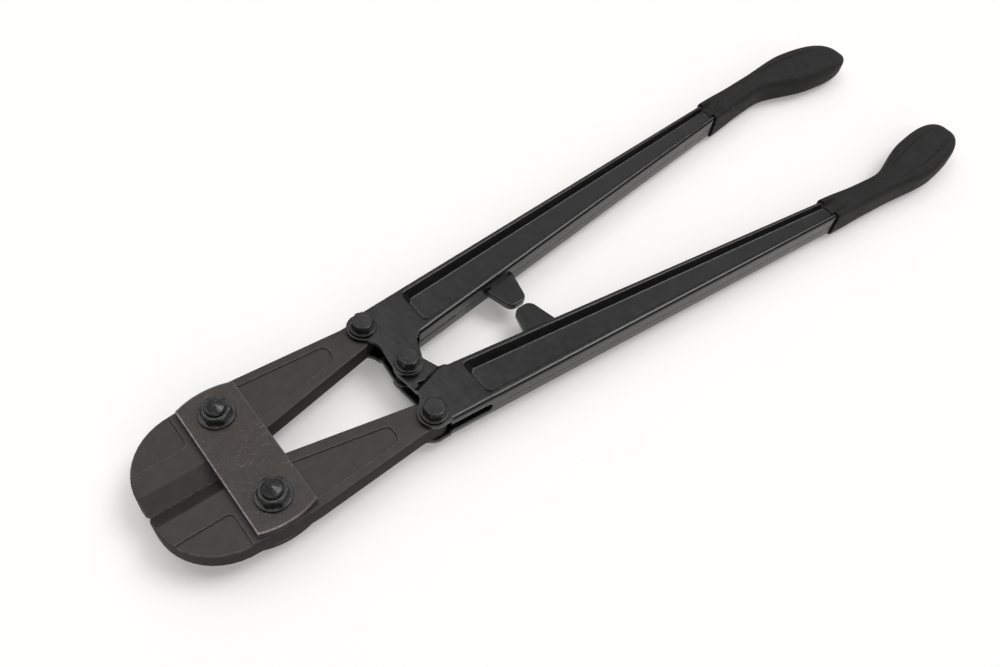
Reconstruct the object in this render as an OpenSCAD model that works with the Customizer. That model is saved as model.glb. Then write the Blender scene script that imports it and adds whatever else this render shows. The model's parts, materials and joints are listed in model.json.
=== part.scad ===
// Long-handled bolt cutters: two forged jaws between two strap plates, driven
// through a four-bar linkage by two handles that are each made of two pressed
// half shells, with a pair of stop tabs and moulded sleeves for the hands.
//
// The working frame has its origin on the closed cutting edges at the nose:
// X runs from the nose towards the grips, +Y is the left jaw and handle, and
// Z = 0 is the mid-plane of the jaws. place() moves it to the base centre.

/* [Linkage] */
// Distance from the nose to the jaw pivots in the strap
jaw_pivot_x = 65.3; // [64:0.1:67]
// Distance of each jaw pivot from the centre line
jaw_pivot_y = 35; // [34:0.5:37]
// Distance from the nose to the pins that link each jaw to its handle
link_x = 181; // [179:0.5:183]
// Distance of each link pin from the centre line
link_y = 42.5; // [41.5:0.5:43.5]
// Distance from the nose to the centre bolt that joins the handles
centre_x = 190; // [188:0.5:192]

/* [Jaws] */
// Thickness of the forged jaws
jaw_thick = 15; // [13:0.5:17]
// Length of the cutting edges
blade_len = 41.5; // [38:0.5:43]
// Width of each bevel that forms the cutting edge
blade_bevel = 11.4; // [9:0.1:13]
// Gap between the two closed cutting edges
edge_gap = 0.3; // [0.2:0.05:0.5]
// How far the rounded nose stands in front of the cutting edges
nose_lead = 1.4; // [1:0.1:3]
// Half width of the flat in the middle of the nose
nose_flat = 11.5; // [8:0.1:16]
// Half width of the two jaws where the nose curve meets the strap
jaw_reach = 54.3; // [53:0.1:55]
// Distance of the tail's inner edge from the centre line at the strap's rear edge
tail_gap = 10.7; // [10:0.1:12]
// Slope of the tail's inner edge
tail_slope = 0.2; // [0.19:0.005:0.21]
// Half width of the two jaws at the rear edge of the strap
tail_reach = 56.4; // [55.5:0.1:57]
// Slope of the tail's outer edge
tail_taper = 0.066; // [0.06:0.002:0.07]
// Radius of the eye round each link pin
tail_eye = 9.5; // [9:0.1:10]
// Half width of the relief hole behind the cutting edges
relief_half = 7.6; // [6:0.1:9]
// Depth of the forged panels in the jaw faces
panel_depth = 0.8; // [0.4:0.1:1.5]
// Distance of the nose panel from the centre line
nose_panel_y = 28; // [25:0.5:31]
// Distance from the nose to the inner end of the nose panel
nose_panel_x = 40.3; // [36:0.1:42]
// Distance between the tail panel and the tail's inner edge
panel_inner = 8.5; // [7.5:0.1:9.5]
// Distance between the tail panel and the tail's outer edge
panel_outer = 6.8; // [6:0.1:8]
// Distance from the nose to the rounded end of the tail panel
panel_end = 152; // [145:1:156]
// Radius on the forged edges of the jaws
forged_edge = 1.2; // [0.6:0.1:1.6]

/* [Strap] */
// Width of the strap plates
strap_w = 41.3; // [38:0.1:44]
// Length of the strap plates across both jaws
strap_len = 111.4; // [108:0.2:113]
// Thickness of each strap plate
strap_t = 5; // [4:0.1:6]

/* [Handles] */
// Thickness of the pressed sheet of the half shells
sheet_t = 3; // [2.6:0.1:3.2]
// Radius of each ear round its link pin
link_ear = 11.5; // [11:0.1:12.5]
// Radius of each ear round the centre bolt
centre_ear = 10.5; // [10.2:0.1:11.5]
// Distance from the nose to where the arms start behind the ears
arm_x = 211; // [210:0.5:214]
// Distance of the arm's inner edge from the centre line where it starts
arm_inner = 15.7; // [15:0.1:17.5]
// Distance of the arm's outer edge from the centre line where it starts
arm_outer = 55.9; // [55:0.1:57]
// Width of the arm where it enters the grip
arm_end_w = 20.5; // [20:0.1:23]
// Distance of the arm's middle from the centre line where it enters the grip
arm_end_y = 70.8; // [66:0.1:76]
// Outer bend radius of the shell's long edges
shell_edge = 2.6; // [2.2:0.1:3]
// Width of the rims beside the long dish at its front end
rim_w = 4.5; // [4:0.1:5]
// Width of the rims where the arm enters the grip
rim_end_w = 3; // [2.8:0.1:4]
// Depth of the long dish at its front end
dish_depth = 5; // [4:0.1:5.2]
// Depth of the dish where the arm enters the grip
dish_end_depth = 3.6; // [3:0.1:4.2]
// Distance from the nose to the front end of the dish
dish_x = 219.5; // [218:0.5:230]
// Distance from the nose to the end of the open slot in the arm's outer side
slot_end = 221; // [209:1:223]
// Half height of the open slot in the arm's outer side
slot_half = 4.5; // [3:0.1:5]
// Distance from the nose to the end of the slit in the arm's inner side
slit_end = 247; // [230:1:260]
// Half height of the slit between the half shells
slit_half = 0.8; // [0.4:0.1:1.2]
// Where the joggle of the tucked ear crosses the line of the centre bolt
joggle_y = 20.3; // [19:0.1:22]
// Angle of the joggle line
joggle_angle = 15.4; // [10:0.2:18]

/* [Stops] */
// Distance from the nose to the middle of the stop tabs
stop_x = 291.5; // [270:0.5:320]
// Gap between the tips of the closed stop tabs
stop_gap = 3; // [2.4:0.1:6]
// Thickness of the stop tabs
stop_t = 5.8; // [4.4:0.1:6.2]
// Width of each stop tab at its root
stop_w = 28; // [26:0.5:34]
// Width of each stop tab at its tip
stop_tip_w = 15; // [13:0.1:18]
// Corner radius at the tip of each stop tab
stop_tip_r = 6.5; // [4:0.1:7]

/* [Grips] */
// Distance from the nose to the front edge of the sleeves
grip_x = 565; // [545:1:585]
// Length of each sleeve
grip_len = 187.5; // [178:0.1:197]
// Thickness of the moulded sleeve
skin_t = 1.8; // [1.2:0.1:2.4]
// Largest width of the flared sleeve
flare_w = 42.6; // [38:0.2:48]
// Distance from the sleeve's front edge to where the flare starts
flare_start = 66; // [58:1:74]
// Length over which the sleeve flares out
flare_len = 64; // [58:1:72]
// Inward bend of the grip against the arm, as a slope
grip_bend = 0.215; // [0.15:0.005:0.25]
// Distance from the sleeve's front edge to the bend
bend_start = 76; // [66:1:86]
// Corner radius of the flared sleeve's section
flare_edge = 9.5; // [7:0.1:10.5]
// Fullness of the sleeve's rounded end
end_fullness = 2.3; // [2:0.05:2.8]
// Length over which the dish fades out under the sleeve
dish_fade = 34; // [26:1:50]

/* [Strap bolts] */
// Diameter of the strap bolts
strap_bolt_d = 12; // [10:0.5:12]
// Width across flats of the strap bolts' heads and nuts
strap_hex = 18; // [17:0.5:19]
// Height of the strap bolts' heads
strap_head_h = 7.5; // [6:0.1:8.5]
// Height of the flats of the domed nuts
strap_nut_h = 5.6; // [4.5:0.1:8]
// Height of the dome on the domed nuts
dome_h = 4.6; // [3:0.1:6]
// Diameter of the dome at its foot
dome_d = 13.4; // [13:0.1:15]
// Outer diameter of the strap bolts' washers
strap_washer_d = 24; // [22:0.5:26]

/* [Link bolts] */
// Diameter of the link bolts and the centre bolt
link_bolt_d = 10; // [9:0.5:10]
// Width across flats of their heads and nuts
link_hex = 14.2; // [14:0.1:16]
// Height of their heads
link_head_h = 5.6; // [5:0.1:7]
// Height of their nuts
link_nut_h = 6; // [5:0.1:8]
// Outer diameter of their washers
link_washer_d = 19.5; // [19:0.5:21]
// Thickness of every washer
washer_t = 2; // [1.5:0.1:2.5]
// Outer diameter of the spacer between the tucked ears
spacer_d = 17; // [15:0.5:20]

/* [Fits] */
// Gap between plates that slide over each other
slide_gap = 0.15; // [0.1:0.05:0.2]
// Radial running clearance of the pivots
running_fit = 0.05; // [0.03:0.01:0.1]
// Radial clearance of the bolts in plates that do not turn on them
bolt_fit = 0.1; // [0.05:0.05:0.2]
// Radial play at the centre bolt that lets the linkage close
centre_play = 2.75; // [2.6:0.05:3]
// Half of the gap along the seam between two half shells
seam_gap = 0.1; // [0.05:0.05:0.2]

/* [Hidden] */
half = jaw_thick / 2;
strap_z = half + slide_gap;
strap_top = strap_z + strap_t;
ear_z = half + slide_gap;
ear_top = ear_z + sheet_t;
tuck_top = ear_z - slide_gap - 0.1;
tuck_z = tuck_top - sheet_t;
strap_x0 = jaw_pivot_x - strap_w / 2;
strap_x1 = jaw_pivot_x + strap_w / 2;
strap_head_z = strap_top + washer_t + strap_head_h;
link_head_z = ear_top + washer_t;
bolt_end = link_nut_h + 0.8;
tip_x = grip_x + grip_len;
rest_h = strap_head_z;
mid_x = (tip_x - nose_lead) / 2;
relief_x = blade_len + 16;
arm_w = arm_outer - arm_inner;
arm_y = (arm_outer + arm_inner) / 2;
wall_face = arm_y + arm_w / 2 - arm_slope() * (arm_x - link_x) - sheet_t - link_y;
wall_x = link_x + 0.4 + sqrt(max(1, tail_eye * tail_eye - wall_face * wall_face));
bend_soft = 12;
over = 1;

oxide = [0.27, 0.25, 0.25];
paint = [0.13, 0.13, 0.14];
vinyl = [0.19, 0.19, 0.20];
steel = [0.33, 0.33, 0.34];

// ---------------------------------------------------------------- outlines

function unit(v) = v / norm(v);

function flat(p) = [p[0], p[1]];

// Points of a fillet of radius r at corner b between a and c
function fillet(a, b, c, r, n) =
    let (u = unit(a - b), v = unit(c - b),
         h = acos(max(-1, min(1, u * v))) / 2,
         t = r / tan(h),
         m = b + unit(u + v) * r / sin(h),
         s = b + u * t - m,
         e = b + v * t - m,
         a0 = atan2(s[1], s[0]),
         d = atan2(e[1], e[0]) - a0,
         sweep = d > 180 ? d - 360 : d < -180 ? d + 360 : d)
    [for (k = [0:n]) m + r * [cos(a0 + sweep * k / n), sin(a0 + sweep * k / n)]];

// Outline from corners [x, y, fillet radius]
function outline(corners, n = 6) =
    let (last = len(corners))
    [for (i = [0:last - 1])
        let (a = flat(corners[(i + last - 1) % last]),
             b = flat(corners[i]),
             c = flat(corners[(i + 1) % last]),
             r = corners[i][2])
        each (r > 0 ? fillet(a, b, c, r, n) : [b])];

// Corners along an arc about [x, y] from angle a0 to a1
function arc(x, y, rx, ry, a0, a1, n) =
    [for (k = [0:n])
        let (a = a0 + (a1 - a0) * k / n)
        [x + rx * cos(a), y + ry * sin(a), 0]];

// Closed outline moved inwards by d, for a counter-clockwise outline
function inset(p, d) =
    let (n = len(p))
    [for (i = [0:n - 1])
        let (u = unit(p[i] - p[(i + n - 1) % n]),
             v = unit(p[(i + 1) % n] - p[i]),
             w = [-u[1] - v[1], u[0] + v[0]])
        p[i] + d * 2 * w / (w * w)];

function lift(p, z) = [for (q = p) [q[0], q[1], z]];

// Skin through rings of equal length, closed with flat caps
module skin(rings) {
    n = len(rings[0]);
    m = len(rings);
    side = [for (j = [0:m - 2], i = [0:n - 1])
        let (a = j * n + i,
             b = j * n + (i + 1) % n,
             c = a + n,
             d = b + n)
        each [[a, c, b], [b, c, d]]];
    polyhedron(
        points = [for (ring = rings) each ring],
        faces = concat(side,
            [[for (i = [0:n - 1]) i]],
            [[for (i = [n - 1:-1:0]) (m - 1) * n + i]]),
        convexity = 8);
}

// Plate with rounded edges of radius e on both faces, trimmed flat at -h and h
module forged_plate(p, h, e) {
    steps = [0, 45, 90];
    low = [for (a = steps) lift(inset(p, e * (1 - sin(a))), -h + e * (1 - cos(a)))];
    high = [for (a = steps) lift(inset(p, e * (1 - cos(a))), h - e + e * sin(a))];
    intersection() {
        skin(concat([lift(inset(p, e), -h - over)], low, high,
            [lift(inset(p, e), h + over)]));
        linear_extrude(2 * h, center = true)
            square(4 * max([for (q = p) norm(q)]), center = true);
    }
}

// ------------------------------------------------------------------- jaws

function tail_in(x) = tail_gap + tail_slope * (x - strap_x1);
function tail_out(x) = tail_reach - tail_taper * (x - strap_x1);

// Counter-clockwise outline of the left jaw
function jaw_outline() =
    let (edge = edge_gap / 2,
         nose_x = strap_x0 - 2,
         cross_x = strap_x1 + (relief_half - tail_gap) / tail_slope,
         eye = arc(link_x, link_y, tail_eye, tail_eye, -62, 104, 10))
    outline(concat(
        [[-nose_lead, edge + 3.4, 1.5],
         [0, edge, 0],
         [blade_len, edge, 0],
         [blade_len, relief_half, 3],
         [max(cross_x, blade_len + 10), relief_half, 3],
         [link_x - 6, tail_in(link_x - 6), 3]],
        eye,
        [[link_x - tail_eye - 4, tail_out(link_x - tail_eye - 4), 8],
         [strap_x1, tail_out(strap_x1), 20],
         [jaw_pivot_x, strap_len / 2 + 0.9, 40]],
        arc(nose_x, nose_flat, nose_x + nose_lead, jaw_reach - nose_flat, 90, 180, 12)));

// Shallow panels on one face, cut from z = half - panel_depth upwards
module jaw_panels() {
    nose = outline([
        [-nose_lead - over, nose_panel_y, 0],
        [nose_panel_x, nose_panel_y, 4],
        [nose_panel_x, jaw_reach + 5, 0],
        [-nose_lead - over, jaw_reach + 5, 0]]);
    x0 = strap_x1 - 12;
    tail = outline([
        [x0, tail_in(x0) + panel_inner, 3],
        [panel_end, tail_in(panel_end) + panel_inner, 4.8],
        [panel_end, tail_out(panel_end) - panel_outer, 4.8],
        [x0, tail_out(x0) - panel_outer, 3]]);
    translate([0, 0, half - panel_depth]) {
        linear_extrude(panel_depth + over) polygon(nose);
        linear_extrude(panel_depth + over) polygon(tail);
    }
}

// Wedge above the bevel of the cutting edge
module jaw_bevel() {
    land = 0.25;
    translate([-nose_lead - over, edge_gap / 2, 0])
    rotate([90, 0, 90])
        linear_extrude(strap_x0 + nose_lead + over + 1.2)
            polygon([
                [-over, land],
                [0, land],
                [blade_bevel, half],
                [blade_bevel, half + over],
                [-over, half + over]]);
}

module jaw() {
    difference() {
        forged_plate(jaw_outline(), half, forged_edge);
        for (side = [0, 1]) mirror([0, 0, side]) {
            jaw_bevel();
            jaw_panels();
        }
        translate([jaw_pivot_x, jaw_pivot_y, -half - over])
            cylinder(d = strap_bolt_d + 2 * running_fit, h = jaw_thick + 2 * over, $fn = 64);
        translate([link_x, link_y, -half - over])
            cylinder(d = link_bolt_d + 2 * running_fit, h = jaw_thick + 2 * over, $fn = 64);
    }
}

// ------------------------------------------------------------------ strap

module strap_plate() {
    translate([jaw_pivot_x, 0, strap_z])
    difference() {
        intersection() {
            cylinder(d = strap_len, h = strap_t, $fn = 180);
            translate([-strap_w / 2, -strap_len, 0])
                cube([strap_w, 2 * strap_len, strap_t]);
        }
        for (side = [-1, 1])
            translate([0, side * jaw_pivot_y, -over])
                cylinder(d = strap_bolt_d + 2 * bolt_fit, h = strap_t + 2 * over, $fn = 64);
    }
}

// -------------------------------------------------------------- fasteners

module hexagon(flats, h) {
    rotate([0, 0, 30]) cylinder(d = flats / cos(30), h = h, $fn = 6);
}

// Hexagon with its outer corners turned down to a chamfer
module hex_body(flats, h) {
    c = (flats / cos(30) - flats) / 2;
    intersection() {
        hexagon(flats, h);
        union() {
            cylinder(d = flats / cos(30) + 1, h = h - c * 0.6, $fn = 48);
            translate([0, 0, h - c * 0.6])
                cylinder(d1 = flats / cos(30), d2 = flats * 0.95, h = c * 0.6, $fn = 48);
        }
    }
}

module washer(d, bore) {
    difference() {
        cylinder(d = d, h = washer_t, $fn = 64);
        translate([0, 0, -over])
            cylinder(d = bore + 2 * bolt_fit, h = washer_t + 2 * over, $fn = 64);
    }
}

module nut(flats, h, bore) {
    difference() {
        hex_body(flats, h);
        translate([0, 0, -over])
            cylinder(d = bore + 2 * bolt_fit, h = h + 2 * over, $fn = 64);
    }
}

// Nut with a low dome over the end of the bolt
module domed_nut() {
    dome_r = (dome_d * dome_d / 4 + dome_h * dome_h) / (2 * dome_h);
    difference() {
        union() {
            hex_body(strap_hex, strap_nut_h);
            intersection() {
                translate([0, 0, strap_nut_h + dome_h - dome_r])
                    sphere(r = dome_r, $fn = 64);
                translate([0, 0, strap_nut_h - 0.5])
                    cylinder(d = dome_d, h = dome_h + over, $fn = 64);
            }
        }
        translate([0, 0, -over])
            cylinder(d = strap_bolt_d + 2 * bolt_fit, h = strap_nut_h - 0.6 + over, $fn = 64);
    }
}

// Bolt with its head up: the shank runs from z = 0 down to -reach
module bolt(flats, head_h, d, reach) {
    hex_body(flats, head_h);
    translate([0, 0, -reach])
        cylinder(d = d, h = reach + 0.5, $fn = 64);
}

module strap_bolt() {
    translate([jaw_pivot_x, jaw_pivot_y, -strap_top - washer_t])
    mirror([0, 0, 1])
        bolt(strap_hex, strap_head_h, strap_bolt_d,
            2 * (strap_top + washer_t) + strap_nut_h - 0.8);
}

module strap_nut() {
    translate([jaw_pivot_x, jaw_pivot_y, strap_top + washer_t]) domed_nut();
}

module strap_washers() {
    for (side = [-1, 1])
        translate([jaw_pivot_x, side * jaw_pivot_y, strap_top])
            washer(strap_washer_d, strap_bolt_d);
}

module pin_bolt(x, y) {
    translate([x, y, link_head_z])
        bolt(link_hex, link_head_h, link_bolt_d, 2 * link_head_z + bolt_end);
}

module pin_nut(x, y) {
    translate([x, y, -link_head_z])
        mirror([0, 0, 1]) nut(link_hex, link_nut_h, link_bolt_d);
}

module pin_washers(x, y) {
    for (side = [0, 1])
        mirror([0, 0, side])
            translate([x, y, ear_top]) washer(link_washer_d, link_bolt_d);
}

module spacer() {
    difference() {
        translate([centre_x, 0, -tuck_z + slide_gap])
            cylinder(d = spacer_d, h = 2 * (tuck_z - slide_gap), $fn = 64);
        translate([centre_x, 0, -tuck_z - over])
            cylinder(d = link_bolt_d + 2 * bolt_fit, h = 2 * (tuck_z + over), $fn = 64);
    }
}

// ---------------------------------------------------------------- handles

// Middle and half width of the bare arm and of the steel inside the grip
function arm_slope() = (arm_end_y - arm_y) / (grip_x - arm_x);
function bend(x) =
    let (s = x - grip_x - bend_start)
    grip_bend * (sqrt(s * s + bend_soft * bend_soft) + s) / 2;
function arm_mid(x) = arm_y + arm_slope() * (x - arm_x) - bend(x);
function arm_half(x) = (arm_w + (arm_end_w - arm_w) * (x - arm_x) / (grip_x - arm_x)) / 2;
function ease(t) = let (u = max(0, min(1, t))) u * u * (3 - 2 * u);
function flare(x) = ease((x - grip_x - flare_start) / flare_len);
function closing(x) =
    let (s = grip_x + flare_start + flare_len,
         u = max(0, min(1, (x - s) / (tip_x - s))))
    sqrt(max(0, 1 - pow(u, end_fullness)));
// Half width, half height and corner radius of the sleeve's outside
function grip_half(x) =
    ((arm_half(x) + skin_t) * (1 - flare(x)) + flare_w / 2 * flare(x)) * closing(x);
function grip_high(x) = (ear_top + skin_t) * pow(closing(x), 0.8);
function grip_edge(x) = (shell_edge + skin_t) * (1 - flare(x)) + flare_edge * flare(x);
// Share of the way along the bare arm, and what changes along it
function along(x) = max(0, min(1, (x - arm_x) / (grip_x - arm_x)));
function rim(x) = rim_w + (rim_end_w - rim_w) * along(x);
function dish(x) =
    (dish_depth + (dish_end_depth - dish_depth) * along(x))
        * (1 - ease((x - grip_x - 4) / dish_fade));

// Upper half of a section: half width w, half height h, corner radius r, dish
// depth d, rim width m, starting at the right side on height z
function half_section(w, h, r, d, m, z, n = 4) =
    let (q = min(r, w * 0.6, (h - z) * 0.8),
         top = min(max(m, q + 0.2), w * 0.8),
         run = min(max(d, 0.2), (w - top) * 0.8),
         right = concat(
             [[w, z]],
             [for (k = [0:n]) [w - q + q * cos(90 * k / n), h - q + q * sin(90 * k / n)]],
             [[w - top, h], [w - top - run, h - d]]))
    concat(right, [for (i = [len(right) - 1:-1:0]) [-right[i][0], right[i][1]]]);

function full_section(w, h, r, d, m) =
    let (up = half_section(w, h, r, d, m, 0),
         n = len(up) - 2)
    concat([for (i = [1:n]) up[i]], [for (i = [n:-1:1]) [up[i][0], -up[i][1]]]);

function ring(x, y, section) = [for (p = section) [x, y + p[0], p[1]]];

// Stations along the steel shell, closer together where its shape changes
function bare_stations() = [dish_x, dish_x + dish_depth, grip_x - 0.5];
function grip_stations(end) =
    concat([for (s = [0, 8, 20, 32, 44, 56]) grip_x + s],
        [for (s = [66:10:flare_start + flare_len]) grip_x + s],
        [for (u = [0.3, 0.5, 0.66, 0.79, 0.89, 0.96, 0.99, 1])
            let (s = grip_x + flare_start + flare_len)
            s + u * (end - s)]);

function shell_dish(x) = x <= dish_x ? 0 : dish(x);

// Solid inside of the steel shell moved inwards by t, cut off at height z
module shell_solid(t, z, from, to) {
    rings = [
        for (x = concat([from], bare_stations()))
            let (w = arm_half(x) - t)
            ring(x, arm_mid(x),
                half_section(w, ear_top - t, max(shell_edge - t, 0.1),
                    shell_dish(x), max(rim(x) - t * sqrt(2), 0.2), z)),
        for (x = grip_stations(to))
            let (gap = skin_t + t, w = grip_half(x) - gap)
            ring(x, arm_mid(x),
                half_section(max(w, 2.4), max(grip_high(x) - gap, max(z, 0) + 2),
                    max(grip_edge(x) - gap, 0.1), shell_dish(x) * min(1, w / 8),
                    max(rim(x) - t * sqrt(2), 0.2), z))];
    skin(rings);
}

// Section of the sleeve at x, moved inwards by t
function sleeve_ring(x, at, t) =
    let (w = max(grip_half(at) - t, 2.4),
         h = max(grip_high(at) - t, 2.2))
    ring(x, arm_mid(x),
        full_section(w, h, max(grip_edge(at) - t, 0.3),
            dish(at) * min(1, w / 8), rim(at) + (skin_t - t) * sqrt(2)));

// Moulded sleeve: its inner surface from the end forwards, then its outside
module sleeve() {
    t = skin_t - bolt_fit;
    inner = grip_stations(tip_x - t);
    outer = grip_stations(tip_x);
    skin(concat(
        [for (i = [len(inner) - 1:-1:0]) sleeve_ring(inner[i], inner[i], t)],
        [for (x = outer) sleeve_ring(x, x, 0)]));
}

function arm_in(x) = arm_mid(x) - arm_half(x);
function arm_out(x) = arm_mid(x) + arm_half(x);

// Counter-clockwise outline of the two ears and the web between them
function ear_outline() =
    let (top = asin((arm_out(link_x) - link_y) / link_ear),
         waist = centre_x - centre_ear + 3)
    outline(concat(
        arc(centre_x, 0, centre_ear, centre_ear, 184, 336, 12),
        [[arm_x - 4.5, arm_inner - 2.4, 2],
         [arm_x, arm_inner + 1, 0],
         [arm_x + 4, arm_in(arm_x + 4) + shell_edge + over, 0],
         [arm_x + 4, arm_out(arm_x + 4) - shell_edge - over, 0],
         [wall_x + over, arm_out(wall_x) - shell_edge - over, 0],
         [wall_x + over, arm_out(wall_x) - 0.3, 0]],
        arc(link_x, link_y, link_ear, link_ear, 180 - top, 235, 9),
        [[waist, link_y - link_ear - 3.6, 15]]));

// Side profile of the tucked ear's joggle, in y and z
function joggle_profile() =
    let (drop = ear_top - tuck_top,
         k = sheet_t * tan(22.5),
         y = joggle_y * cos(joggle_angle))
    [[2 * arm_outer, ear_z], [2 * arm_outer, ear_top],
     [y, ear_top], [y - drop, tuck_top],
     [-2 * centre_ear, tuck_top], [-2 * centre_ear, tuck_z],
     [y - drop + k, tuck_z], [y + k, ear_z]];

module ear_plate(tucked) {
    if (tucked)
        intersection() {
            translate([0, 0, tuck_z - over])
                linear_extrude(ear_top - tuck_z + 2 * over) polygon(ear_outline());
            translate([centre_x, 0, 0])
            rotate([0, 0, -joggle_angle])
            rotate([90, 0, 90])
            translate([0, 0, -2 * arm_outer])
                linear_extrude(4 * arm_outer) polygon(joggle_profile());
        }
    else
        translate([0, 0, ear_z]) linear_extrude(sheet_t) polygon(ear_outline());
}

// Where the outer wall stays open, and the slit along the inner seam
module seam_openings() {
    y = arm_mid(arm_x);
    translate([wall_x - over, y, -over])
        cube([slot_end - slot_half - wall_x + over, arm_w, slot_half + over]);
    translate([slot_end - slot_half, y, 0])
        rotate([-90, 0, 0]) cylinder(r = slot_half, h = arm_w, $fn = 32);
    translate([arm_x - over, y - arm_w, -over])
        cube([slit_end - arm_x + over, arm_w, slit_half + over]);
}

// Tenon of the stop tab, larger all round by a clearance
module stop_tenon(gap) {
    x0 = stop_x - stop_w / 2 + 4 - gap;
    x1 = stop_x + stop_w / 2 - 4 + gap;
    linear_extrude(stop_t + 2 * gap, center = true)
        polygon([
            [x0, arm_in(x0) - over], [x1, arm_in(x1) - over],
            [x1, arm_in(x1) + sheet_t + 3 + gap], [x0, arm_in(x0) + sheet_t + 3 + gap]]);
}

module half_shell(tucked, centre_gap) {
    difference() {
        union() {
            ear_plate(tucked);
            difference() {
                shell_solid(0, seam_gap, wall_x, tip_x - skin_t);
                translate([wall_x - over, -arm_w, -over])
                    cube([arm_x - wall_x + over, arm_w + arm_mid(arm_x), 2 * ear_top]);
            }
        }
        shell_solid(sheet_t, -over, wall_x - over, tip_x - skin_t - sheet_t);
        seam_openings();
        stop_tenon(bolt_fit);
        translate([link_x, link_y, 0])
            cylinder(d = link_bolt_d + 2 * bolt_fit, h = 2 * ear_top, $fn = 64);
        translate([centre_x, 0, 0])
            cylinder(d = link_bolt_d + 2 * centre_gap, h = 2 * ear_top, $fn = 64);
    }
}

module stop_tab() {
    x0 = stop_x - stop_w / 2;
    x1 = stop_x + stop_w / 2;
    tip = stop_gap / 2;
    union() {
        linear_extrude(stop_t, center = true)
            polygon(outline([
                [x0, arm_in(x0) - 0.1, 0],
                [stop_x - stop_tip_w / 2, tip, stop_tip_r],
                [stop_x + stop_tip_w / 2, tip, stop_tip_r],
                [x1, arm_in(x1) - 0.1, 0]]));
        stop_tenon(0);
    }
}

// --------------------------------------------------------------- assembly

// Moves the working frame to the base centre
module place() {
    translate([-mid_x, 0, rest_h]) children();
}

module left() { place() children(); }
module right() { place() mirror([0, 1, 0]) children(); }

color(oxide) left() jaw();  // jaw_left
color(oxide) right() jaw();  // jaw_right
color(oxide) place() strap_plate();  // strap_top_plate
color(oxide) place() mirror([0, 0, 1]) strap_plate();  // strap_bottom_plate
color(steel) left() strap_bolt();  // strap_bolt_left
color(steel) right() strap_bolt();  // strap_bolt_right
color(steel) left() strap_nut();  // strap_nut_left
color(steel) right() strap_nut();  // strap_nut_right
color(steel) place() strap_washers();  // strap_washers_top
color(steel) place() mirror([0, 0, 1]) strap_washers();  // strap_washers_bottom
color(paint) left() half_shell(false, bolt_fit);  // handle_left_top
color(paint) left() mirror([0, 0, 1]) half_shell(true, bolt_fit);  // handle_left_bottom
color(paint) right() half_shell(true, centre_play);  // handle_right_top
color(paint) right() mirror([0, 0, 1]) half_shell(false, centre_play);  // handle_right_bottom
color(paint) left() stop_tab();  // stop_left
color(paint) right() stop_tab();  // stop_right
color(vinyl) left() sleeve();  // grip_left
color(vinyl) right() sleeve();  // grip_right
color(steel) left() pin_bolt(link_x, link_y);  // link_bolt_left
color(steel) right() pin_bolt(link_x, link_y);  // link_bolt_right
color(steel) left() pin_nut(link_x, link_y);  // link_nut_left
color(steel) right() pin_nut(link_x, link_y);  // link_nut_right
color(steel) left() pin_washers(link_x, link_y);  // link_washers_left
color(steel) right() pin_washers(link_x, link_y);  // link_washers_right
color(steel) place() pin_bolt(centre_x, 0);  // centre_bolt
color(steel) place() pin_nut(centre_x, 0);  // centre_nut
color(steel) place() pin_washers(centre_x, 0);  // centre_washers
color(steel) place() spacer();  // centre_spacer
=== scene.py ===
"""Looks of the long-handled bolt cutters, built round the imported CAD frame.

Everything is in metres, in the frame of the CAD: X runs from the nose of the jaws to
the grips, +Y is the left jaw and handle, and Z = 0 is the lowest point of the CAD.
"""

import json
import math

import bmesh
import bpy
from mathutils import Matrix, Vector


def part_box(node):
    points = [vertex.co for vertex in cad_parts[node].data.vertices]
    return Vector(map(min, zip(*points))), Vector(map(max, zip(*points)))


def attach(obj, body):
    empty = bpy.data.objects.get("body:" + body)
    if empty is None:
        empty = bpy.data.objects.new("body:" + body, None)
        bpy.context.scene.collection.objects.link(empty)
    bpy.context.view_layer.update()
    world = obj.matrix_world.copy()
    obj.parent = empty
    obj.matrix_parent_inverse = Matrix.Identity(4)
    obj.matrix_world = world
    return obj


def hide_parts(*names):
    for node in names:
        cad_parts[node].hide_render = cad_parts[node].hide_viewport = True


MM = 0.001

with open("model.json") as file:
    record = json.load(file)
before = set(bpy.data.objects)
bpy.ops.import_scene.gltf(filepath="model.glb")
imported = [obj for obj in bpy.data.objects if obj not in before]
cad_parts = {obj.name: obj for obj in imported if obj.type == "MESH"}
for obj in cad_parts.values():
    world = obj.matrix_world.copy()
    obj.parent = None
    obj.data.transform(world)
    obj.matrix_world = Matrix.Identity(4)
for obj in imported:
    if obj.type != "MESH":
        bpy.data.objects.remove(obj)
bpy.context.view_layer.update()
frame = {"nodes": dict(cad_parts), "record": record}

# ------------------------------------------------------------------ places


def middle(node):
    """Centre of a CAD node's box."""
    low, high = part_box(node)
    return (low + high) / 2


MID_Z = middle("jaw_left").z
PIVOT = middle("strap_nut_left")
CENTRE = middle("centre_bolt")


# --------------------------------------------------------------- materials


# Sockets of Mix nodes, which go by number: A, B and the result, for colours and floats
COLOUR_A, COLOUR_B, COLOUR_RESULT = 6, 7, 2
FLOAT_A, FLOAT_B, FLOAT_RESULT = 2, 3, 0

OCCLUSION_SAMPLES = 8

# Turn of the scratches round X and Y, in radians
SCRATCH_LEAN = (0.3, 0.2)


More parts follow.
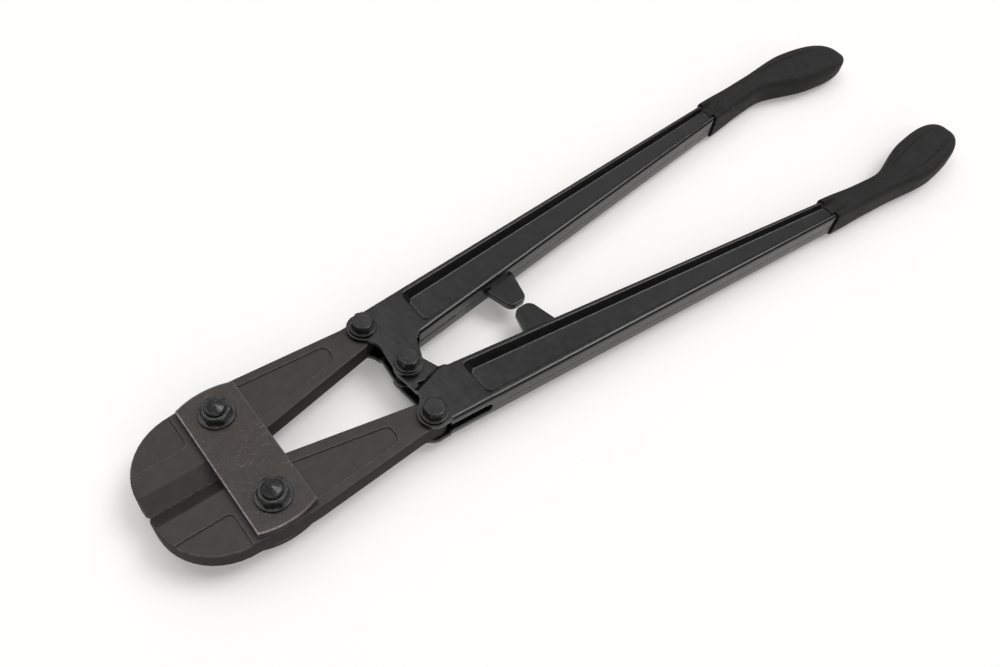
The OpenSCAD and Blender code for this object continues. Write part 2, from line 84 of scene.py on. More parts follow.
class Finish:
    """Wires a procedural finish round one Principled shader."""

    def __init__(self, name, roughness, metallic=0.0, specular=0.5):
        self.material = bpy.data.materials.new(name)
        self.material.use_nodes = True
        self.tree = self.material.node_tree
        self.shader = self.tree.nodes["Principled BSDF"]
        self.set(self.shader, "Roughness", roughness)
        self.set(self.shader, "Metallic", metallic)
        self.set(self.shader, "Specular IOR Level", specular)
        self.place = self.tree.nodes.new("ShaderNodeTexCoord").outputs["Object"]

    def set(self, node, socket, value):
        """A plain value is set on the socket, and another socket is linked to it."""
        target = node.inputs[socket]
        if isinstance(value, bpy.types.NodeSocket):
            self.tree.links.new(value, target)
        else:
            target.default_value = value

    def noise(self, size, detail=3.0, place=None):
        """Noise from 0 to 1 with features of about the given size in metres."""
        node = self.tree.nodes.new("ShaderNodeTexNoise")
        self.set(node, "Vector", place or self.place)
        self.set(node, "Scale", 1 / size)
        self.set(node, "Detail", detail)
        return node.outputs["Fac"]

    def cells(self, size):
        """Distance to the nearest of randomly scattered points, in cells."""
        node = self.tree.nodes.new("ShaderNodeTexVoronoi")
        self.set(node, "Vector", self.place)
        self.set(node, "Scale", 1 / size)
        return node.outputs["Distance"]

    def ramp(self, value, low, high, start=0.0, end=1.0):
        """Value from start to end while the input goes from low to high."""
        node = self.tree.nodes.new("ShaderNodeMapRange")
        self.set(node, "Value", value)
        self.set(node, "From Min", low)
        self.set(node, "From Max", high)
        self.set(node, "To Min", start)
        self.set(node, "To Max", end)
        return node.outputs["Result"]

    def math(self, operation, a, b=0.0):
        """Result of one operation on two values."""
        node = self.tree.nodes.new("ShaderNodeMath")
        node.operation = operation
        self.set(node, 0, a)
        self.set(node, 1, b)
        return node.outputs[0]

    def mix(self, share, a, b):
        """Colour between a and b."""
        node = self.tree.nodes.new("ShaderNodeMix")
        node.data_type = "RGBA"
        self.set(node, 0, share)
        self.set(node, COLOUR_A, a)
        self.set(node, COLOUR_B, b)
        return node.outputs[COLOUR_RESULT]

    def edges(self, radius, low, high):
        """1 along sharp outer and inner edges, fading out within the radius."""
        bevel = self.tree.nodes.new("ShaderNodeBevel")
        bevel.samples = 6
        self.set(bevel, "Radius", radius)
        shape = self.tree.nodes.new("ShaderNodeNewGeometry")
        dot = self.tree.nodes.new("ShaderNodeVectorMath")
        dot.operation = "DOT_PRODUCT"
        self.set(dot, 0, bevel.outputs[0])
        self.set(dot, 1, shape.outputs["Normal"])
        return self.ramp(dot.outputs["Value"], 1 - low, 1 - high)

    def soften(self, radius, samples=6):
        """Rounds sharp edges off in the shading, over the radius."""
        bevel = self.tree.nodes.new("ShaderNodeBevel")
        bevel.samples = samples
        self.set(bevel, "Radius", radius)
        self.set(self.shader, "Normal", bevel.outputs[0])

    def crevices(self, reach, low, high):
        """0 deep in inner corners, 1 in the open."""
        node = self.tree.nodes.new("ShaderNodeAmbientOcclusion")
        node.samples = OCCLUSION_SAMPLES
        node.only_local = True
        self.set(node, "Distance", reach)
        return self.ramp(node.outputs["AO"], low, high)

    def ridges(self, reach, low, high):
        """1 along outer edges, also where they are rounded, and 0 on flat faces."""
        node = self.tree.nodes.new("ShaderNodeAmbientOcclusion")
        node.samples = OCCLUSION_SAMPLES
        node.only_local = True
        node.inside = True
        self.set(node, "Distance", reach)
        return self.ramp(node.outputs["AO"], low, high)

    def along(self):
        """Place along the tool, in metres."""
        apart = self.tree.nodes.new("ShaderNodeSeparateXYZ")
        self.set(apart, 0, self.place)
        return apart.outputs[0]

    def lying(self, low=0.35, high=0.75):
        """1 on faces that look up or down, 0 on upright sides."""
        shape = self.tree.nodes.new("ShaderNodeTexCoord")
        apart = self.tree.nodes.new("ShaderNodeSeparateXYZ")
        self.set(apart, 0, shape.outputs["Normal"])
        return self.ramp(self.math("ABSOLUTE", apart.outputs[2]), low, high)

    def scratches(self, length, width, turn, share):
        """Thin broken strokes, 1 on a stroke; the share is how few there are."""
        spin = self.tree.nodes.new("ShaderNodeMapping")
        self.set(spin, "Vector", self.place)
        self.set(spin, "Rotation", (*SCRATCH_LEAN, turn))
        self.set(spin, "Scale", (width / length, 1.0, 1.0))
        strokes = self.noise(width, 1.0, spin.outputs["Vector"])
        return self.ramp(strokes, share, share + 0.04)

    def bump(self, height, depth):
        """Bump of the given depth in metres, on top of what is there."""
        node = self.tree.nodes.new("ShaderNodeBump")
        before = self.shader.inputs["Normal"].links
        if before:
            self.set(node, "Normal", before[0].from_socket)
        self.set(node, "Height", height)
        self.set(node, "Distance", depth)
        self.set(node, "Strength", 1.0)
        self.set(self.shader, "Normal", node.outputs[0])

    def colour(self, value):
        self.set(self.shader, "Base Color", value)

    def rough(self, value):
        self.set(self.shader, "Roughness", value)


def rgb(r, g, b):
    """Opaque colour from linear values."""
    return (r, g, b, 1.0)


# Painted shade: the near black that the upright sides of the forgings are darkened
# towards.
SIDE_SHADE = rgb(0.002, 0.0018, 0.0018)
# Painted shade: the near black that inner corners and steps of the forgings are darkened
# towards.
FORGED_CORNER_SHADE = rgb(0.003, 0.0025, 0.0025)
# Painted shade: the near black that inner corners of the fasteners are darkened towards.
BOLT_CORNER_SHADE = rgb(0.004, 0.004, 0.004)
SCRATCH_WIDTH = 0.30 * MM


def forged_oxide(name, dark, warm, wear_and_glint, wear_and_glint_strength, strokes=0.0, front=0.0):
    """Blackened forging: mottled, finely pitted, and worn brown along its edges, with a
    painted highlight laid over that wear; its upright sides and inner corners get painted
    shade.

    wear_and_glint_strength is how strong the wear and painted highlight on the edges are,
    strokes is how few scratches there are, and front is where the wear and painted
    highlight start to fade along the tool. With strokes or front at 0 there are no
    scratches, or no fading.
    """
    f = Finish(name, 0.5, specular=0.4)
    f.soften(0.7 * MM)
    base = f.mix(f.ramp(f.noise(7 * MM, 5), 0.36, 0.64), dark, warm)
    fine = f.noise(0.8 * MM, 4)
    base = f.mix(f.ramp(fine, 0.45, 0.8, 0.0, 0.07), base, wear_and_glint)
    # Painted shade: upright sides are darkened three quarters of the way to a near black.
    lying = f.lying()
    base = f.mix(lying, f.mix(0.75, base, SIDE_SHADE), base)
    # Wear along the outer edges, brightened into a painted highlight; patchy, and fading
    # along the tool from front where that is given.
    patchy = f.ramp(f.noise(2.6 * MM, 6), 0.36, 0.62, 0.5 * wear_and_glint_strength ** 3, wear_and_glint_strength)
    edge = f.math("MULTIPLY", f.ridges(1.4 * MM, 0.92, 0.72), patchy)
    if front:
        fading = f.ramp(f.along(), front, front + 34 * MM, 1.0, 0.22)
        edge = f.math("MULTIPLY", edge, fading)
    if strokes:
        marks = f.scratches(9 * MM, SCRATCH_WIDTH, 0.6, strokes)
        crossing = f.scratches(6 * MM, SCRATCH_WIDTH, 2.0, strokes + 0.01)
        marks = f.math("MAXIMUM", marks, crossing)
        marks = f.math("MULTIPLY", marks, f.ramp(f.noise(9 * MM, 2), 0.5, 0.6))
        edge = f.math("MAXIMUM", edge, f.math("MULTIPLY", marks, 0.6))
    base = f.mix(edge, base, wear_and_glint)
    # Painted shade: inner corners and steps are darkened towards a near black, over 1.6
    # mm.
    f.colour(f.mix(f.crevices(1.6 * MM, 0.62, 0.97), FORGED_CORNER_SHADE, base))
    gloss = f.ramp(f.math("ADD", fine, edge), 0.3, 1.4, 0.48, 0.30)
    f.rough(f.math("ADD", gloss, f.ramp(lying, 0.0, 1.0, 0.30, 0.0)))
    pits = f.ramp(f.cells(2.3 * MM), 0.0, 0.18)
    f.bump(f.noise(1.6 * MM, 5), 0.055 * MM)
    f.bump(pits, 0.03 * MM)
    return f.material


def black_paint(name):
    """Glossy black enamel over pressed steel, with orange peel, specks and painted
    highlights along its folds and edges.
    """
    f = Finish(name, 0.2)
    f.soften(1.5 * MM, 10)
    cloudy = f.ramp(f.noise(14 * MM, 3), 0.35, 0.65)
    coat = f.mix(cloudy, rgb(0.0042, 0.0042, 0.0045), rgb(0.0072, 0.0072, 0.0075))
    # Painted highlight: patchy light grey lines along the outer and inner edges stand in
    # for glints on the rounded folds.
    patchy = f.ramp(f.noise(1.3 * MM, 4), 0.42, 0.60)
    edge = f.math("MULTIPLY", f.edges(1.1 * MM, 0.03, 0.22), patchy)
    f.colour(f.mix(edge, coat, rgb(0.16, 0.16, 0.163)))
    f.rough(f.ramp(f.noise(6 * MM, 4), 0.3, 0.7, 0.17, 0.28))
    specks = f.ramp(f.cells(2.6 * MM), 0.0, 0.16, 1.0, 0.0)
    f.bump(f.noise(11 * MM, 2), 0.22 * MM)
    f.bump(f.noise(4.0 * MM, 2), 0.035 * MM)
    f.bump(specks, 0.012 * MM)
    return f.material


def grained_vinyl(name):
    """Matte moulded sleeve with a fine grain."""
    f = Finish(name, 0.6, specular=0.28)
    cloudy = f.ramp(f.noise(20 * MM, 3), 0.3, 0.7)
    f.colour(f.mix(cloudy, rgb(0.0118, 0.0113, 0.0112), rgb(0.0162, 0.0155, 0.0153)))
    f.rough(f.ramp(f.noise(5 * MM, 3), 0.3, 0.7, 0.64, 0.78))
    f.bump(f.noise(0.5 * MM, 3), 0.03 * MM)
    return f.material


def dark_steel(name, base, wear_and_glint, grain):
    """Blackened fastener steel, worn along its edges under a painted highlight, with
    painted shade in its inner corners; grain is the bump's depth.
    """
    f = Finish(name, 0.4, metallic=0.35)
    patchy = f.ramp(f.noise(1.5 * MM, 4), 0.33, 0.55)
    # Wear along the outer edges and chamfers, brightened into a painted highlight there.
    edge = f.math("MULTIPLY", f.ridges(0.7 * MM, 0.85, 0.5), patchy)
    tone = f.mix(f.ramp(f.noise(3 * MM, 3), 0.3, 0.7), base, wear_and_glint)
    tone = f.mix(edge, f.mix(0.15, base, tone), wear_and_glint)
    # Painted shade: inner corners are darkened towards a near black.
    f.colour(f.mix(f.crevices(1.2 * MM, 0.45, 0.95), BOLT_CORNER_SHADE, tone))
    f.rough(f.ramp(f.noise(1.0 * MM, 3), 0.3, 0.7, 0.20, 0.38))
    f.bump(f.noise(1.4 * MM, 3), grain)
    return f.material


# The jaws' brown edge colour is wear, brightened into a painted highlight.
JAW = forged_oxide(
    "jaw_oxide",
    dark=rgb(0.0188, 0.0158, 0.0147),
    warm=rgb(0.0262, 0.0213, 0.0188),
    wear_and_glint=rgb(0.14, 0.112, 0.096),
    wear_and_glint_strength=0.5,
)
# The strap plates' near white edge colour is mostly a painted highlight standing in for
# glints on their front edges, laid over real wear and scratches.
STRAP = forged_oxide(
    "strap_oxide",
    dark=rgb(0.0252, 0.0186, 0.0155),
    warm=rgb(0.0345, 0.0253, 0.0208),
    wear_and_glint=rgb(0.48, 0.445, 0.415),
    wear_and_glint_strength=1.0,
    strokes=0.71,
    front=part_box("strap_top_plate")[0].x + 6 * MM,
)
PAINT = black_paint("black_paint")
VINYL = grained_vinyl("vinyl")
STEEL = dark_steel(
    "dark_steel",
    base=rgb(0.013, 0.013, 0.0137),
    wear_and_glint=rgb(0.24, 0.235, 0.23),
    grain=0.035 * MM,
)
BOLT = dark_steel(
    "bolt_steel",
    base=rgb(0.011, 0.011, 0.0112),
    wear_and_glint=rgb(0.13, 0.128, 0.122),
    grain=0.025 * MM,
)

# How a CAD node's name starts, and its finish. The first match counts, so the strap
# plates come before the rest of the strap's hardware.
DRESS = {
    "jaw": JAW,
    "strap_top": STRAP,
    "strap_bottom": STRAP,
    "strap_": STEEL,
    "handle": PAINT,
    "stop": PAINT,
    "grip": VINYL,
    "link": BOLT,
    "centre": BOLT,
}


def finish_of(node):
    """Finish of a CAD node, by its name."""
    return next(finish for start, finish in DRESS.items() if node.startswith(start))


def dress(piece, node):
    """Gives a piece the finish of the CAD node it stands for, in its one material slot.
    """
    piece.data.materials.clear()
    piece.data.materials.append(finish_of(node))


for node_name, node_object in frame["nodes"].items():
    for slot in node_object.material_slots:
        slot.material = finish_of(node_name)


def copy_of(node, weld):
    """Mesh of a CAD node, with vertices closer than the weld distance made one."""
    bm = bmesh.new()
    bm.from_mesh(frame["nodes"][node].data)
    bmesh.ops.remove_doubles(bm, verts=bm.verts, dist=weld)
    return bm


def eased(node, body, width):
    """Copy of a CAD node with its sharp edges rounded off."""
    bm = copy_of(node, 0.02 * MM)
    bmesh.ops.dissolve_limit(
        bm, angle_limit=math.radians(1.0), verts=bm.verts, edges=bm.edges
    )
    sharp = [e for e in bm.edges if e.calc_face_angle(0) > math.radians(28)]
    bmesh.ops.bevel(
        bm, geom=sharp, offset=width, segments=3, profile=0.5,
        affect="EDGES", clamp_overlap=False, harden_normals=False,
    )
    return finished(node, node + "_rounded", bm, body, 40.0)


def moved(node, name, body, shift, corner=None):
    """Copy of a CAD node with moved vertices and, where chosen, rounded corners.

    shift gives a vertex its new place, and corner says of the two ends of an edge, the
    front one first, whether the edge is rounded.
    """
    bm = copy_of(node, 0.005 * MM)
    for vertex in bm.verts:
        vertex.co = shift(vertex.co.copy())
    if corner:
        chosen = []
        for edge in bm.edges:
            front, back = sorted((v.co for v in edge.verts), key=lambda p: p.x)
            if corner(front, back):
                chosen.append(edge)
        bmesh.ops.bevel(
            bm, geom=chosen, offset=3.2 * MM, segments=5, profile=0.5,
            affect="EDGES", clamp_overlap=False,
        )
    return finished(node, name, bm, body, 30.0)


def finished(node, name, bm, body, sharp=42.0):
    """Turns a bmesh into the piece that stands for one CAD node.

    Edges that turn by more than sharp, in degrees, stay sharp in the shading.
    """
    for face in bm.faces:
        face.smooth = True
    for edge in bm.edges:
        edge.smooth = edge.is_manifold and edge.calc_face_angle(0) < math.radians(sharp)
    mesh = bpy.data.meshes.new(name)
    bm.to_mesh(mesh)
    bm.free()
    piece = bpy.data.objects.new(name, mesh)
    bpy.context.scene.collection.objects.link(piece)
    weighted = piece.modifiers.new("normals", "WEIGHTED_NORMAL")
    weighted.keep_sharp = True
    weighted.weight = 80
    dress(piece, node)
    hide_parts(node)
    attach(piece, body)
    return piece


# --------------------------------------------------------- turned pieces

# Vertices in one ring
AROUND = 96


def ring_of(bm, centre, radius, height):
    """One ring of vertices; radius and height are numbers or functions of the angle."""
    ring = []
    for k in range(AROUND):
        a = 2 * math.pi * k / AROUND
        r = radius(a) if callable(radius) else radius
        z = height(a) if callable(height) else height
        x = centre.x + r * math.cos(a)
        y = centre.y + r * math.sin(a)
        ring.append(bm.verts.new((x, y, z)))
    return ring


def sweep(bm, rings, closed=False):
    """Quads between neighbouring rings; the ends get caps unless they close up."""
    pairs = list(zip(rings, rings[1:]))
    if closed:
        pairs.append((rings[-1], rings[0]))
    count = len(rings[0])
    for low, high in pairs:
        for k in range(count):
            n = (k + 1) % count
            bm.faces.new((low[k], low[n], high[n], high[k]))
    if not closed:
        bm.faces.new(list(reversed(rings[0])))
        bm.faces.new(rings[-1])


def hexagon(flats, crispness=60.0):
    """Radius of a hexagon with softly rounded corners, as a function of the angle."""

    def radius(a):
        total = 0.0
        for side in range(6):
            reach = math.cos(a - side * math.pi / 3)
            if reach > 0:
                total += (2 * reach / flats) ** crispness
        return total ** (-1 / crispness)

    return radius


# A hexagon's turned chamfer: where it starts, as a share of the width across flats, and
# how much it falls per metre outwards
CHAMFER_START = 0.475
CHAMFER_FALL = 0.50


def fastener(node, body, up, hex_height, shank=0.0, crown=(), bore=0.0):
    """Hexagon with turned chamfers, standing on its washer, with a shank or a bore.

    up is 1 or -1. The shank and the bore are radii, and the crown is what stands on the
    hexagon: pairs of radius and height over it.
    """
    low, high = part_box(node)
    centre = (low + high) / 2
    flats = high.x - low.x
    seat = (high.z if up > 0 else low.z) - up * hex_height
    if crown:
        seat -= up * crown[-1][1]
    shape = hexagon(flats)
    start = flats * CHAMFER_START

    def top(a, cut=0.0):
        return hex_height - max(0.0, shape(a) - cut - start) * CHAMFER_FALL

    rings = []
    if shank:
        foot = low.z if up > 0 else high.z
        length = abs(seat - foot)
        rings += [
            (0.3 * MM, -length),
            (shank - 1.0 * MM, -length),
            (shank, -length + 1.0 * MM),
            (shank, 0.0),
        ]
    rings += [
        (lambda a: shape(a) - 0.25 * MM, 0.0),
        (shape, 0.3 * MM),
        (shape, lambda a: top(a) - 0.45 * MM),
        (lambda a: shape(a) - 0.06 * MM, lambda a: top(a) - 0.18 * MM),
        (lambda a: shape(a) - 0.25 * MM, lambda a: top(a, 0.25 * MM) - 0.02 * MM),
        (start, hex_height),
    ]
    rings += [(r, hex_height + z) for r, z in crown]
    if bore:
        rings += [
            (bore + 0.6 * MM, hex_height),
            (bore, hex_height - 0.6 * MM),
            (bore, 0.3 * MM),
        ]
    bm = bmesh.new()
    made = []
    for r, z in rings:
        if callable(z):
            height = (lambda a, z=z: seat + up * z(a))
        else:
            height = seat + up * z
        made.append(ring_of(bm, centre, r, height))
    sweep(bm, made, closed=bool(bore))
    bmesh.ops.recalc_face_normals(bm, faces=bm.faces)
    return finished(node, node + "_turned", bm, body)


def washers(node, body, centres, inner, outer, thick):
    """Washers with rolled rims. Each centre is a point on the lower face."""
    bm = bmesh.new()
    # Width and height of the rolled rim
    e = thick * 0.32
    profile = [
        (inner, e), (inner, thick - e), (inner + e, thick), (outer - e, thick),
        (outer - 0.3 * e, thick - 0.3 * e), (outer, thick - e), (outer, e),
        (outer - e, 0.0), (inner + e, 0.0),
    ]
    for centre in centres:
        rings = [ring_of(bm, centre, r, centre.z + z) for r, z in profile]
        sweep(bm, rings, closed=True)
    bmesh.ops.recalc_face_normals(bm, faces=bm.faces)
    return finished(node, node + "_turned", bm, body)


def turned_dome(radius, height):
    """Crown of an acorn nut: a groove at its foot, then a cone with tool marks.

    It starts with a steep shoulder, which ends at a share of the way in to the tip and
    at a share of the height.
    """
    groove = radius + 0.55 * MM
    tip = 0.12 * MM
    shoulder_in, shoulder_up = 0.12, 0.42
    mark_width, mark_depth = 0.62 * MM, 0.055 * MM
    points = [
        (groove + 0.35 * MM, 0.0),
        (groove, -0.45 * MM),
        (radius + 0.1 * MM, -0.45 * MM),
        (radius, 0.35 * MM),
    ]
    steps = 22
    for k in range(steps + 1):
        t = k / steps
        r = radius * (1 - t)
        if t > shoulder_in:
            cone = 1 - (1 - t) ** 1.25
            rise = height * (shoulder_up + (1 - shoulder_up) * cone)
        else:
            rise = height * shoulder_up * (0.55 + 0.45 * t / shoulder_in)
        mark = mark_depth * math.sin(2 * math.pi * r / mark_width)
        points.append((max(r, tip), rise + (mark if 0.1 < t < 0.97 else 0.0)))
    points[-1] = (tip, height)
    return points


# ------------------------------------------------------ arms, jaws, sleeves

BODY = {
    node: body
    for body, nodes in frame["record"]["behaviour"]["bodies"].items()
    for node in nodes
}

EAR_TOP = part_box("handle_left_top")[1].z
DISH_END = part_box("grip_left")[0].x
# Front of the dish, and where the arm starts
DISH_X = CENTRE.x + 29.5 * MM
ARM_X = CENTRE.x + 21.0 * MM

# An arm's middle line, as its distance from the centre plane, and an arm's half width:
# at ARM_X, and what is added from there to DISH_END, in millimetres
MIDDLE_AT_HUB, MIDDLE_ADDED = 35.8, 35.0
HALF_AT_HUB, HALF_ADDED = 20.1, -9.85

# Depth of the dish at its front and at the sleeve, in millimetres, and the run of its
# walls as a share of the depth
DEEP_AT_FRONT, DEEP_AT_SLEEVE = 6.9, 4.3
WALL_RUN = 0.60

# What tells the vertices of the CAD's dish floor from the others: their depth under the
# ears and their least distance from the arm's side. Those within the last length of the
# dish's front also move along the arm.
FLOOR_SHALLOW, FLOOR_DEEP = 2.8 * MM, 5.6 * MM
FLOOR_INSIDE = 6.0 * MM
FLOOR_FRONT = 8 * MM

# What tells the vertices where a jaw's cutting edges end: their stretch before and after
# the strap's front, and their greatest distance from the centre plane. They move by the
# run.
EDGE_BEFORE, EDGE_AFTER = 3.7 * MM, 2 * MM
EDGE_HALF = 11.9 * MM
EDGE_RUN = 4.5 * MM


def arm_share(x):
    """0 at the hub, 1 where the sleeve starts."""
    return (x - ARM_X) / (DISH_END - ARM_X)


def arm_middle(x):
    """Distance of an arm's middle line from the centre plane."""
    return (MIDDLE_AT_HUB + MIDDLE_ADDED * arm_share(x)) * MM


def arm_half(x):
    """Half width of an arm."""
    return (HALF_AT_HUB + HALF_ADDED * arm_share(x)) * MM


def clamped(t):
    """The value, held between 0 and 1."""
    return max(0.0, min(1.0, t))


def deeper_dish(side, up):
    """Presses the dish of a shell deeper, with steeper walls."""
    across = 1 if side == "left" else -1
    top = EAR_TOP - MID_Z

    def shift(p):
        x, y, z = p
        level = abs(z - MID_Z)
        offset = y * across - arm_middle(x)
        at_floor = top - FLOOR_DEEP < level < top - FLOOR_SHALLOW
        if DISH_X + 1 * MM < x < DISH_END and at_floor:
            inside = arm_half(x) - abs(offset)
            if inside > FLOOR_INSIDE:
                share = clamped((x - DISH_X) / (DISH_END - DISH_X))
                old = top - level
                new = DEEP_AT_FRONT * MM + (DEEP_AT_SLEEVE - DEEP_AT_FRONT) * MM * share
                run = new * WALL_RUN
                z = MID_Z + up * (top - new)
                y += across * math.copysign(old - run, offset)
                if x < DISH_X + FLOOR_FRONT:
                    x = DISH_X + run
        return Vector((x, y, z))

    return shift


def dish_corner(side):
    """Picks the edges that run down the front corners of a dish."""
    across = 1 if side == "left" else -1
    top = EAR_TOP - MID_Z
    floor_level = top - DEEP_AT_FRONT * MM

    def pick(front, back):
        high, low = abs(front.z - MID_Z), abs(back.z - MID_Z)
        front_offset = front.y * across - arm_middle(front.x)
        back_offset = back.y * across - arm_middle(back.x)
        falls = abs(high - top) < 0.1 * MM and abs(low - floor_level) < 0.2 * MM
        at_front = abs(front.x - DISH_X) < 0.6 * MM and back.x < DISH_X + 9 * MM
        slants = back.x - front.x > 1 * MM and abs(back.y - front.y) > 1.5 * MM
        return front_offset * back_offset > 0 and falls and at_front and slants

    return pick


def long_edges():
    """Runs the cutting edges of a jaw on to under the strap."""
    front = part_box("strap_top_plate")[0].x

    def shift(p):
        x, y, z = p
        if front - EDGE_BEFORE < x < front + EDGE_AFTER and abs(y) < EDGE_HALF:
            x += EDGE_RUN
        return Vector((x, y, z))

    return shift


SLEEVE_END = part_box("grip_left")[1].x
# Half widths of a sleeve at its front and at its bulb, and half its height
SLEEVE_W = 12.05 * MM
BULB_W = 21.05 * MM
SLEEVE_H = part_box("grip_left")[1].z - MID_Z

# What happens along a sleeve, in millimetres. Places are measured from its front edge.
# The middle line bends towards the centre plane here, this softly, by this slope.
BEND_AT, BEND_SOFT = 76, 12
BEND_SLOPE = 0.215
# The neck is narrowest from here, and drawn in by this much on each side.
NECK_AT, NECK_IN = 60, 1.0
# The swell to the bulb starts here and takes this length.
SWELL_AT, SWELL_LENGTH = 66, 64
# The rounding of the tip starts here.
TIP_AT = 130
# Least half width and half height of a section, in metres
LEAST = 0.4 * MM


def ease(t):
    """Smooth step from 0 to 1."""
    t = clamped(t)
    return t * t * (3 - 2 * t)


def sleeve_middle(x):
    """Middle line of a sleeve: straight on from the arm, then bent inwards."""
    s = x - DISH_END - BEND_AT * MM
    turn = BEND_SLOPE * (math.sqrt(s * s + (BEND_SOFT * MM) ** 2) + s) / 2
    return arm_middle(x) - turn


def sleeve_section(x, inward):
    """Points round the sleeve: offset from its middle line and height, from mid side.

    The section is a superellipse that is boxy at the front and rounder at the bulb. Its
    flats dip at the front edge, and the bulb has a shallow thumb panel.
    """
    s = x - DISH_END
    swell = ease((s - SWELL_AT * MM) / (SWELL_LENGTH * MM))
    start = DISH_END + TIP_AT * MM
    u = clamped((x - start) / (SLEEVE_END - start))
    close = math.sqrt(max(0.0, 1 - u ** 3.0))
    neck = SLEEVE_W - NECK_IN * MM * min(1.0, s / (NECK_AT * MM)) * (1 - swell)
    w = max((neck + (BULB_W - neck) * swell) * close - inward, LEAST)
    h = max(SLEEVE_H * close ** 0.8 - inward, LEAST)
    n = 7.0 - 3.2 * ease(s / (40 * MM))
    dip = 4.3 * MM * (1 - ease((s - 3 * MM) / (16 * MM)))
    pan = 1.5 * MM * ease((s - 72 * MM) / (26 * MM)) * (1 - ease((u - 0.35) / 0.5))
    quarter = [(w * (1 - k ** n) ** (1 / n), h * k) for k in (0.0, 0.12, 0.24, 0.36)]
    for k in (
        0.985, 0.965, 0.94, 0.91, 0.87, 0.82, 0.76, 0.70, 0.64, 0.60, 0.58, 0.56, 0.54,
        0.52, 0.50, 0.48, 0.46, 0.43, 0.40, 0.36, 0.30, 0.20, 0.10, 0.0,
    ):
        lower = dip * clamped((0.58 - k) / 0.22) + pan * (1 - ease((k - 0.46) / 0.08))
        quarter.append((w * k, h * (1 - k ** n) ** (1 / n) - lower))
    top = quarter + [(-v, z) for v, z in reversed(quarter[:-1])]
    return top + [(v, -z) for v, z in reversed(top[1:-1])]


def sleeve_stations():
    """Places of a sleeve's rings, and how far inside its surface each one lies.

    They start inside the mouth, come out over the rolled front edge and end at the tip.
    """
    stations = [(DISH_END + 8 * MM, 1.75 * MM), (DISH_END + 0.5 * MM, 1.75 * MM)]
    stations += [(DISH_END, 1.3 * MM), (DISH_END, 0.45 * MM)]
    stations += [(DISH_END + 0.35 * MM, 0.1 * MM)]
    along = [1, 3, 5, 8, 11, 14, 17, 20, 24, 29, 35, 42, 49, 56, *range(61, 131, 5)]
    length = (SLEEVE_END - DISH_END) / MM
    tip_rings = 20
    for k in range(1, tip_rings + 1):
        closing = math.sin(math.radians(k * 90 / tip_rings))
        along.append(TIP_AT + (length - TIP_AT) * closing)
    return stations + [(DISH_END + d * MM, 0.0) for d in along]


def sleeve(node, body, across):
    """Moulded sleeve over the end of a handle."""
    bm = bmesh.new()
    rings = []
    for x, inward in sleeve_stations():
        middle_y = sleeve_middle(x)
        rings.append([
            bm.verts.new((x, across * (middle_y + v), MID_Z + z))
            for v, z in sleeve_section(x, inward)
        ])
    sweep(bm, rings)
    bmesh.ops.remove_doubles(bm, verts=bm.verts, dist=0.002 * MM)
    bmesh.ops.recalc_face_normals(bm, faces=bm.faces)
    return finished(node, node + "_moulded", bm, body, 75.0)


# -------------------------------------------------------------- the pieces

WASHER_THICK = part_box("strap_washers_top")[1].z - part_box("strap_washers_top")[0].z

NUT_HEIGHT = 5.6 * MM
DOME_RADIUS = 6.6 * MM
STRAP_HEAD_HEIGHT = 7.5 * MM
STRAP_SHANK = 6 * MM
STRAP_WASHER_BORE = 6.4 * MM
STRAP_WASHER_RADIUS = 12 * MM

LINK_HEAD_HEIGHT = 5.6 * MM
# A shallow turned dish on the heads of the link bolts and of the centre bolt
LINK_HEAD_DISH = [(5.9 * MM, 0.0), (5.4 * MM, -0.12 * MM), (0.3 * MM, -0.12 * MM)]
LINK_SHANK = 5 * MM
LINK_NUT_HEIGHT = 6 * MM
LINK_NUT_BORE = 5.25 * MM
LINK_WASHER_BORE = 5.4 * MM

for node, body in BODY.items():
    low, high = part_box(node)
    centre = (low + high) / 2
    side = "left" if "left" in node else "right"
    if node.startswith("strap_nut"):
        dome = turned_dome(DOME_RADIUS, high.z - low.z - NUT_HEIGHT)
        fastener(node, body, 1, NUT_HEIGHT, crown=dome)
    elif node.startswith("strap_bolt"):
        fastener(node, body, -1, STRAP_HEAD_HEIGHT, STRAP_SHANK)
    elif node.startswith(("link_bolt", "centre_bolt")):
        fastener(node, body, 1, LINK_HEAD_HEIGHT, LINK_SHANK, LINK_HEAD_DISH)
    elif node.startswith(("link_nut", "centre_nut")):
        fastener(node, body, -1, LINK_NUT_HEIGHT, bore=LINK_NUT_BORE)
    elif node.startswith("strap_washers"):
        spots = [Vector((centre.x, s * PIVOT.y, low.z)) for s in (-1, 1)]
        washers(node, body, spots, STRAP_WASHER_BORE, STRAP_WASHER_RADIUS, WASHER_THICK)
    elif "washers" in node:
        levels = (low.z, high.z - WASHER_THICK)
        spots = [Vector((centre.x, centre.y, z)) for z in levels]
        radius = (high.x - low.x) / 2
        washers(node, body, spots, LINK_WASHER_BORE, radius, WASHER_THICK)
    elif node.startswith("grip"):
        sleeve(node, body, 1 if side == "left" else -1)
    elif node.startswith("jaw"):
        moved(node, node + "_forged", body, long_edges())
    elif node.startswith("handle"):
        up = 1 if "top" in node else -1
        moved(node, node + "_pressed", body, deeper_dish(side, up), dish_corner(side))
    elif node.startswith("stop"):
        eased(node, body, 0.8 * MM)
    elif node.endswith("plate"):
        eased(node, body, 0.6 * MM)

# ------------------------------------------------------------------- stage

# The tool lies on the heads of the strap bolts and on the tips of its sleeves, so the
# floor leans by this angle
REST_TILT = math.atan2(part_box("grip_left")[0].z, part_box("grip_left")[1].x - PIVOT.x)
FLOOR_REACH = 6.0
FLOOR_GAP = 0.0002
FLOOR_GLOW = 0.20


